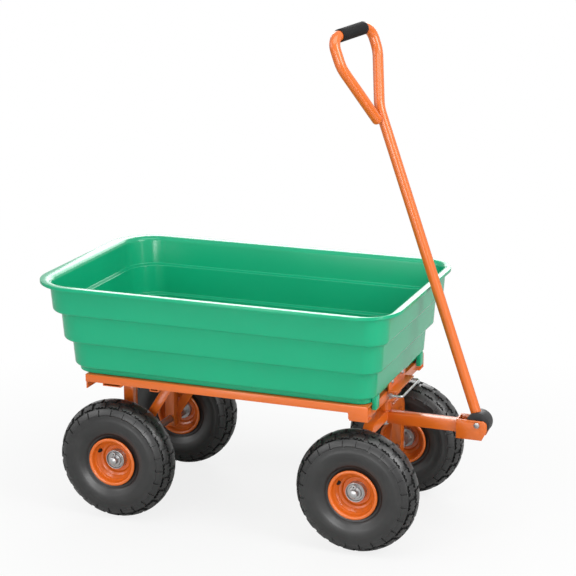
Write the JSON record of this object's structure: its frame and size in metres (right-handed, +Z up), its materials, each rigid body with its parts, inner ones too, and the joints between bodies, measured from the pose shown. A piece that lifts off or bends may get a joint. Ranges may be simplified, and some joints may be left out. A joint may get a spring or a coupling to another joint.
{
  "type": "tipping garden cart",
  "caption": "Garden dump cart with a stepped plastic tub that tips backwards on a steel chassis, pneumatic wheels, a steered front axle and a long pull handle with a closed loop grip.",
  "frame": {"origin": "centre of the base of the bounding box: on the ground, midway between the tub's rear rim and the nose of the handle's knuckle, on the cart's middle plane", "axes": "+Z up, +X towards the handle end, +Y to the cart's left"},
  "size_m": [0.942, 0.52, 1.0575],
  "materials": {
    "tub_green": "moulded green plastic, faintly satin",
    "frame_orange": "orange powder coat on steel tube and sheet",
    "zinc_plate": "bright zinc plate",
    "tyre_rubber": "matt dark grey rubber",
    "grip_rubber": "matt black rubber",
    "black_plastic": "black moulded nylon",
    "nylon": "natural nylon disc"
  },
  "bodies": {
    "chassis": {"left_rail": "frame_orange", "right_rail": "frame_orange", "front_bolster": "frame_orange", "rear_bolster": "frame_orange", "mid_crossbar": "frame_orange", "rear_crossbar": "frame_orange", "bolster_bolts": "zinc_plate", "rear_yoke": "frame_orange", "left_brace": "frame_orange", "right_brace": "frame_orange", "rear_axle": "zinc_plate", "rear_washers": "zinc_plate", "rear_cotters": "zinc_plate", "hinge_ears": "frame_orange", "hinge_rod": "zinc_plate", "upper_turntable": "frame_orange", "kingpin": "zinc_plate", "kingpin_nut": "zinc_plate"},
    "steering": {"front_yoke": "frame_orange", "lower_turntable": "frame_orange", "turntable_disc": "nylon", "front_axle": "zinc_plate", "front_spacers": "zinc_plate", "front_washers": "zinc_plate", "front_cotters": "zinc_plate", "drawbar": "frame_orange", "clevis": "frame_orange", "pivot_bolt": "zinc_plate", "pivot_nut": "zinc_plate"},
    "handle": {"handle_tube": "frame_orange", "handle_knuckle": "black_plastic", "handle_grip": "grip_rubber"},
    "tub": {"tub": "tub_green", "left_hinge_lug": "frame_orange", "right_hinge_lug": "frame_orange", "lug_bolts": "zinc_plate", "latch_plate": "frame_orange", "latch_screws": "zinc_plate"},
    "latch": {"latch_pin": "zinc_plate", "latch_hook": "frame_orange", "latch_bail": "zinc_plate"},
    "front_left_wheel": {"front_left_tyre": "tyre_rubber", "front_left_rim": "frame_orange", "front_left_hub": "zinc_plate", "front_left_valve": "grip_rubber"},
    "front_right_wheel": {"front_right_tyre": "tyre_rubber", "front_right_rim": "frame_orange", "front_right_hub": "zinc_plate", "front_right_valve": "grip_rubber"},
    "rear_left_wheel": {"rear_left_tyre": "tyre_rubber", "rear_left_rim": "frame_orange", "rear_left_hub": "zinc_plate", "rear_left_valve": "grip_rubber"},
    "rear_right_wheel": {"rear_right_tyre": "tyre_rubber", "rear_right_rim": "frame_orange", "rear_right_hub": "zinc_plate", "rear_right_valve": "grip_rubber"}
  },
  "joints": [
    {"name": "steer", "type": "hinge", "parent": "chassis", "child": "steering", "pos_m": [0.239, 0, 0.25], "axis": [0, 0, 1], "range_deg": [-20, 20]},
    {"name": "handle_swing", "type": "hinge", "parent": "steering", "child": "handle", "pos_m": [0.446, 0, 0.244], "axis": [0, 1, 0], "range_deg": [0, 110]},
    {"name": "tub_tip", "type": "hinge", "parent": "chassis", "child": "tub", "pos_m": [-0.37183, 0, 0.306], "axis": [0, -1, 0], "range_deg": [0, 60]},
    {"name": "latch_lift", "type": "hinge", "parent": "tub", "child": "latch", "pos_m": [0.27239, 0, 0.3013], "axis": [0, -1, 0], "range_deg": [0, 60]},
    {"name": "front_left_spin", "type": "hinge", "parent": "steering", "child": "front_left_wheel", "pos_m": [0.239, 0.174, 0.13], "axis": [0, 1, 0], "continuous": true},
    {"name": "front_right_spin", "type": "hinge", "parent": "steering", "child": "front_right_wheel", "pos_m": [0.239, -0.174, 0.13], "axis": [0, 1, 0], "continuous": true},
    {"name": "rear_left_spin", "type": "hinge", "parent": "chassis", "child": "rear_left_wheel", "pos_m": [-0.301, 0.174, 0.13], "axis": [0, 1, 0], "continuous": true},
    {"name": "rear_right_spin", "type": "hinge", "parent": "chassis", "child": "rear_right_wheel", "pos_m": [-0.301, -0.174, 0.13], "axis": [0, 1, 0], "continuous": true}
  ]
}
